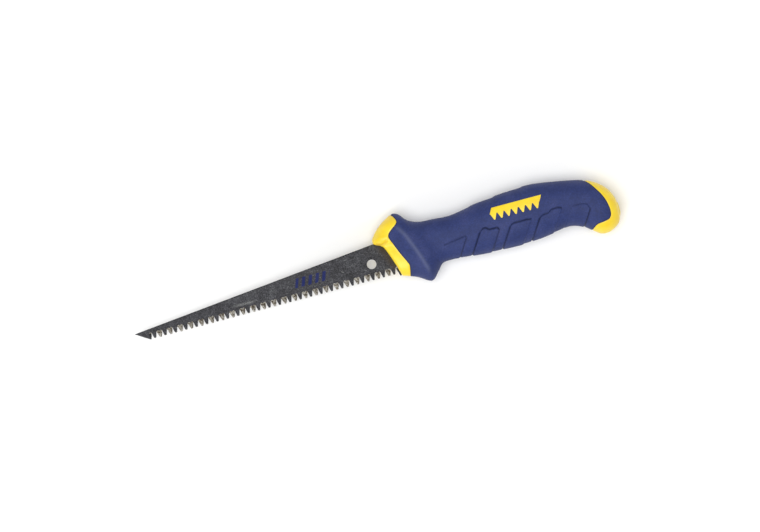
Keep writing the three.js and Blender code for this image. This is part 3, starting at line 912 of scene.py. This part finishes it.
def rib_tree():
    """Cuts a row of ribs out of the hollow, so that they stay in the shell."""
    tree, given, result = new_tree("shell_ribs", [
        ("Ribs", "Int"), ("First rib", "Vector"), ("Spacing", "Vector"), ("Rib size", "Vector"),
        ("Plastic", "Material"),
    ])
    row = node(tree, "GeometryNodeMeshLine", mode="OFFSET")
    rib = node(tree, "GeometryNodeMeshCube")
    place = node(tree, "GeometryNodeInstanceOnPoints")
    real = node(tree, "GeometryNodeRealizeInstances")
    cut = node(tree, "GeometryNodeMeshBoolean", operation="DIFFERENCE", solver="MANIFOLD")
    link_all(tree,
             (given["Ribs"], row.inputs["Count"]),
             (given["First rib"], row.inputs["Start Location"]),
             (given["Spacing"], row.inputs["Offset"]), (given["Rib size"], rib.inputs["Size"]),
             (row.outputs["Mesh"], place.inputs["Points"]),
             (rib.outputs["Mesh"], place.inputs["Instance"]),
             (place.outputs["Instances"], real.inputs["Geometry"]),
             (given["Geometry"], cut.inputs["Mesh 1"]),
             (real.outputs["Geometry"], cut.inputs["Mesh 2"]))
    end_in(tree, cut.outputs["Mesh"], given["Plastic"], result)
    return tree


def mark_on(tree, mark):
    """How strong a mark is here, as written on the piece's points."""
    attribute = tree.nodes.new("ShaderNodeAttribute")
    attribute.attribute_name = mark
    return attribute.outputs["Fac"]


def yellow_plastic_nodes(tree, surface):
    place = on_saw(tree)
    cloud = noise(tree, place, 0.12, 3.0, 0.5)
    colour = ramp(tree, cloud, [
        (0.3, (0.78, 0.53, 0.012)), (0.55, (0.82, 0.6, 0.017)), (0.75, (0.85, 0.65, 0.026)),
    ])
    turned = stretched(tree, place, (2.0, 0.4, 1.0), 0.7)
    scuffs = noise(tree, turned, 1.0, 5.0, 0.65)
    scuffed = ramp(tree, scuffs, [(0.66, 0.0), (0.8, 0.22)])
    colour = blended(tree, scuffed, colour, (0.93, 0.8, 0.25))
    # Painted shade: the "groove" mark darkens the plastic brown along the fold under the nose.
    painted_shade = product(tree, mark_on(tree, "groove"), 0.42)
    colour = blended(tree, painted_shade, colour, (0.4, 0.22, 0.012))
    tree.links.new(colour, surface.inputs["Base Color"])
    orange_peel = noise(tree, place, 1.3, 2.0, 0.5)
    tree.links.new(ramp(tree, scuffs, [(0.3, 0.32), (0.75, 0.5)]), surface.inputs["Roughness"])
    surface.inputs["IOR"].default_value = 1.49
    surface.inputs["Subsurface Weight"].default_value = 0.12
    surface.inputs["Subsurface Radius"].default_value = (1.0, 0.6, 0.1)
    surface.inputs["Subsurface Scale"].default_value = 1.2 * MM
    bumped(tree, surface, orange_peel, 0.03, 0.35)


yellow_plastic = shader("yellow_plastic", yellow_plastic_nodes)
skin = handle_skin()


def skin_copy(name):
    return linked(name, skin.data.copy())


def places_on(piece):
    """The places of a piece's points on the saw, in millimetres."""
    places = np.empty(len(piece.data.vertices) * 3)
    piece.data.vertices.foreach_get("co", places)
    return (places.reshape(-1, 3) - tooth_line) / MM


def all_in(piece, material):
    piece.data.materials.clear()
    piece.data.materials.append(material)


def marked(piece, mark, values):
    """Writes how strong a mark is at each point, for the material to read."""
    piece.data.attributes.new(mark, "FLOAT", "POINT").data.foreach_set("value", values)


collar = machined(skin_copy("collar"), "INTERSECT", collar_block(0))
butt = machined(skin_copy("butt"), "INTERSECT", butt_block(0))
core = plain_body("core", GRIP_WALL + BOND_GAP, 0, LAST - 1)
machined(core, "UNION", collar, butt)
hollow = plain_body("hollow", GRIP_WALL + SHELL_WALL, *HOLLOW_SECTIONS)
for x in PIN_PLACES:
    machined(hollow, "DIFFERENCE", pulled("boss", circle(x, PIN_HEIGHT, BOSS_RADIUS), -WIDE, WIDE))
run_tree(hollow, rib_tree(), {
    "Ribs": RIB_COUNT,
    "First rib": at(BLADE_LENGTH + FIRST_RIB, PIN_HEIGHT),
    "Spacing": (RIB_SPACING * MM, 0, 0),
    "Rib size": (RIB_THICKNESS * MM, WIDE * 2 * MM, WIDE * 2 * MM),
    "Plastic": yellow_plastic,
})
mouth = BLADE_LENGTH - MOUTH_REACH
tang_room = pulled("tang_room", [
    (mouth, HEEL[1] - TANG_CLEARANCE),
    (HEEL[0] + HEEL_LENGTH + HEEL_CLEARANCE, HEEL[1] - TANG_CLEARANCE),
    (HEEL_ROOT + TANG_CLEARANCE, TANG_BOTTOM - TANG_CLEARANCE),
    (TANG_END + TANG_CLEARANCE, TANG_BOTTOM - TANG_CLEARANCE),
    (TANG_END + TANG_CLEARANCE, TANG_TOP + TANG_CLEARANCE),
    (TANG_FRONT + TANG_CLEARANCE, TANG_TOP + TANG_CLEARANCE),
    (TANG_FRONT + TANG_CLEARANCE, spine_at(TANG_FRONT) + TANG_CLEARANCE),
    (mouth, spine_at(mouth) + TANG_CLEARANCE),
], -HALF_BLADE - SLOT_CLEARANCE, HALF_BLADE + SLOT_CLEARANCE)
machined(core, "DIFFERENCE", hollow, tang_room)
for x in PIN_PLACES:
    hole = pulled("pin_hole", circle(x, PIN_HEIGHT, PIN_HOLE_RADIUS), -PIN_SOCKET, PIN_SOCKET)
    machined(core, "DIFFERENCE", hole)
for side, name in ((1, "left"), (-1, "right")):
    half = linked("half_shell_" + name, core.data.copy())
    near, far = sorted((side * PARTING_GAP, side * WIDE))
    front, rear = BLADE_LENGTH + SIDE_START, BLADE_LENGTH + BEHIND
    space = [(front, -WIDE), (rear, -WIDE), (rear, WIDE), (front, WIDE)]
    machined(half, "INTERSECT", pulled("side", space, near, far))
    all_in(half, yellow_plastic)
    shaded(half)
    spots = places_on(half)
    # Painted shade along the fold under the nose, written as the "groove" mark.
    from_fold = distance_to(FOLD, spots[:, 0], spots[:, 1])
    marked(half, "groove", np.exp(-(from_fold / FOLD_SHADE_SPREAD) ** 2))
    finished(half, "shell_" + name)
bpy.data.objects.remove(core)

# ------------------------------------------------------------------ grip
# A soft blue rubber, moulded over the shells between the two seams, about 2.8 mm thick. Its sides
# carry slanted pads, and its surface has the fine matt grain of a spark-eroded mould.
EMBLEM_PLACE = (233.3, 17.0)
EMBLEM_LENGTH = 34.0
EMBLEM_HEIGHT = 7.6
EMBLEM_DEPTH = 1.1
EMBLEM_TEETH = 7
EMBLEM_SLANT = 2.0
EMBLEM_CLEARANCE = 0.06
POCKET_CLEARANCE = 0.1
# Where the painted highlight along the guard's crest lies: its half width, and the heights where
# it fades in and out.
CREST_HIGHLIGHT_HALF_WIDTH = 1.3
CREST_HIGHLIGHT_FROM, CREST_HIGHLIGHT_TO = (-8, 0), (31, 26)


def blue_rubber_nodes(tree, surface):
    place = on_saw(tree)
    cloud = noise(tree, place, 0.1, 4.0, 0.55)
    grain = noise(tree, place, 2.6, 3.0, 0.7)
    mottle = noise(tree, place, 0.9, 3.0, 0.7)
    colour = ramp(tree, cloud, [
        (0.3, (0.013, 0.023, 0.1)), (0.5, (0.018, 0.03, 0.12)), (0.72, (0.027, 0.038, 0.135)),
    ])
    for pattern, dark, light in ((grain, 0.8, 1.25), (mottle, 0.87, 1.15)):
        fleck = ramp(tree, pattern, [(0.38, dark), (0.5, 1.0), (0.62, light)])
        colour = blended(tree, 1.0, colour, fleck, "MULTIPLY")
    lint = noise(tree, place, 1.7, 5.0, 0.7)
    lint = ramp(tree, lint, [(0.66, 0.0), (0.74, 0.35)])
    colour = blended(tree, lint, colour, (0.14, 0.15, 0.22))
    # Painted shade: darker in the pad grooves and along both seams.
    painted_shade = product(tree, mark_on(tree, "groove"), 0.75)
    colour = blended(tree, painted_shade, colour, (0.004, 0.006, 0.02))
    # Painted highlight: paler along the guard's crest.
    wear_and_highlight = product(tree, mark_on(tree, "crest_highlight"), 0.34)
    colour = blended(tree, wear_and_highlight, colour, (0.13, 0.15, 0.24))
    tree.links.new(colour, surface.inputs["Base Color"])
    tree.links.new(ramp(tree, grain, [(0.3, 0.55), (0.7, 0.75)]), surface.inputs["Roughness"])
    surface.inputs["Specular IOR Level"].default_value = 0.3
    bumped(tree, surface, grain, 0.08, 0.5)


def emblem_tree():
    """A bar with a row of teeth along its lower edge, as one body."""
    tree, given, result = new_tree("emblem_teeth", [
        ("Tooth", "Object"), ("Teeth", "Int"), ("First tooth", "Vector"), ("Tooth step", "Vector"),
        ("Plastic", "Material"),
    ])
    row = node(tree, "GeometryNodeMeshLine", mode="OFFSET")
    tooth = node(tree, "GeometryNodeObjectInfo", transform_space="RELATIVE")
    place = node(tree, "GeometryNodeInstanceOnPoints")
    real = node(tree, "GeometryNodeRealizeInstances")
    join = node(tree, "GeometryNodeMeshBoolean", operation="UNION", solver="MANIFOLD")
    link_all(tree,
             (given["Teeth"], row.inputs["Count"]),
             (given["First tooth"], row.inputs["Start Location"]),
             (given["Tooth step"], row.inputs["Offset"]), (given["Tooth"], tooth.inputs["Object"]),
             (row.outputs["Mesh"], place.inputs["Points"]),
             (tooth.outputs["Geometry"], place.inputs["Instance"]),
             (place.outputs["Instances"], real.inputs["Geometry"]),
             (given["Geometry"], join.inputs["Mesh 2"]),
             (real.outputs["Geometry"], join.inputs["Mesh 2"]))
    end_in(tree, join.outputs["Mesh"], given["Plastic"], result)
    return tree


teeth_of_emblem = emblem_tree()


def emblem_block(name, low, high, clearance):
    """The emblem's outline pulled across the saw, grown all round by a clearance."""
    x, y = EMBLEM_PLACE
    root = y + 0.5 * EMBLEM_HEIGHT
    top = y + EMBLEM_HEIGHT
    step = (EMBLEM_LENGTH - EMBLEM_SLANT) / EMBLEM_TEETH
    c = clearance
    bar = pulled(name, [
        (x - c, root - c), (x + EMBLEM_LENGTH - EMBLEM_SLANT + c, root - c),
        (x + EMBLEM_LENGTH + c, top + c), (x + EMBLEM_SLANT - c, top + c),
    ], low, high)
    overlap = root - y + 0.3
    tooth = pulled("tooth", [
        (step * 0.42 - c, -c * 1.5), (step * 0.58 + c, -c * 1.5),
        (step * 0.96 + c, overlap), (step * 0.04 - c, overlap),
    ], low, high)
    tooth.data.transform(Matrix.Translation((-tooth_line[0], -tooth_line[1], 0)))
    run_tree(bar, teeth_of_emblem, {
        "Tooth": tooth,
        "Teeth": EMBLEM_TEETH,
        "First tooth": at(x, y)[:2] + (0.0,),
        "Tooth step": (step * MM, 0, 0),
        "Plastic": yellow_plastic,
    })
    bpy.data.objects.remove(tooth)
    return bar


blue_rubber = shader("blue_rubber", blue_rubber_nodes)
grip = skin_copy("rubber_grip")
machined(grip, "DIFFERENCE", plain_body("bore", GRIP_WALL, 0, LAST - 1),
         collar_block(BOND_GAP), butt_block(BOND_GAP))
for low, high in ((-WIDE, 0), (0, WIDE)):
    pocket = emblem_block("pocket", low, high, EMBLEM_CLEARANCE)
    floor_depth = EMBLEM_DEPTH + POCKET_CLEARANCE
    machined(pocket, "DIFFERENCE", plain_body("pocket_floor", floor_depth, 0, LAST - 1))
    machined(grip, "DIFFERENCE", pocket)
all_in(grip, blue_rubber)
shaded(grip)
# Painted shade darkens the pad grooves and both seams, and a painted highlight runs pale along the
# guard's crest.
spots = places_on(grip)
x, y = spots[:, 0], spots[:, 1]
_, grooved = pad_shape(x, y)
grooved = np.maximum(grooved, np.exp(-(to_seams(x - BLADE_LENGTH, y) / SEAM_SOFT) ** 2))
crest_highlight = np.exp(-(distance_to(CREST, x, y) / CREST_HIGHLIGHT_HALF_WIDTH) ** 2)
crest_highlight *= smooth(*CREST_HIGHLIGHT_FROM, y) * smooth(*CREST_HIGHLIGHT_TO, y)
marked(grip, "groove", grooved)
marked(grip, "crest_highlight", crest_highlight)
finished(grip, "grip")

# ------------------------------------------------------------------ emblems
# A strip of yellow plastic with saw teeth along its lower edge, let into each side of the rubber
# and flush with it. It is a plain device, and stands for no maker.
for name, low, high in (("left", 0, WIDE), ("right", -WIDE, 0)):
    emblem = emblem_block("emblem_inlay_" + name, low, high, 0)
    machined(emblem, "INTERSECT", skin_copy("flush"))
    machined(emblem, "DIFFERENCE", plain_body("emblem_back", EMBLEM_DEPTH, 0, LAST - 1))
    all_in(emblem, yellow_plastic)
    finished(emblem, "emblem_" + name)
bpy.data.objects.remove(skin)

# ------------------------------------------------------------------ studio
# A plain pale floor in pale surroundings, a soft box overhead and three weaker ones at the sides,
# and a camera that looks straight down on the saw, turned so that it lies aslant.
FLOOR_SIZE = 6.0
CAMERA_HEIGHT = 3.0
VIEW_WIDTH = 0.475
TURN = math.radians(14.95)
AIM = at(159.1, 7.5)


def floor_nodes(tree, surface):
    surface.inputs["Base Color"].default_value = (0.9, 0.9, 0.895, 1.0)
    surface.inputs["Roughness"].default_value = 0.9


edge = FLOOR_SIZE / 2
corners = [(-edge, -edge, 0.0), (edge, -edge, 0.0), (edge, edge, 0.0), (-edge, edge, 0.0)]
floor_mesh = bpy.data.meshes.new("floor")
floor_mesh.from_pydata(corners, [], [(0, 1, 2, 3)])
floor = linked("floor", floor_mesh)
all_in(floor, shader("pale_floor", floor_nodes))


def soft_box(name, place, size, power):
    light = linked(name, bpy.data.lights.new(name, "AREA"))
    light.data.shape = "DISK"
    light.data.size = size
    light.data.energy = power
    light.visible_camera = False
    light.location = place
    light.rotation_mode = "QUATERNION"
    light.rotation_quaternion = (Vector(AIM) - Vector(place)).to_track_quat("-Z", "Y")


soft_box("overhead", (-0.2, -0.1, 2.0), 1.2, 27)
soft_box("spine_side", (0.6, 1.5, 1.0), 0.9, 2.0)
soft_box("rake", (-1.0, -0.9, 0.7), 0.35, 6)
soft_box("butt_side", (1.5, -0.5, 0.8), 0.9, 2.0)

world = bpy.data.worlds.new("studio")
world.use_nodes = True
surroundings = world.node_tree.nodes["Background"].inputs
surroundings["Color"].default_value = (1.0, 1.0, 1.0, 1.0)
surroundings["Strength"].default_value = 0.55
bpy.context.scene.world = world
bpy.context.scene.view_settings.view_transform = "Standard"

camera = linked("camera", bpy.data.cameras.new("camera"))
camera.data.lens = camera.data.sensor_width * CAMERA_HEIGHT / VIEW_WIDTH
camera.location = (AIM[0], AIM[1], AIM[2] + CAMERA_HEIGHT)
camera.rotation_euler = (0.0, 0.0, -TURN)
bpy.context.scene.camera = camera
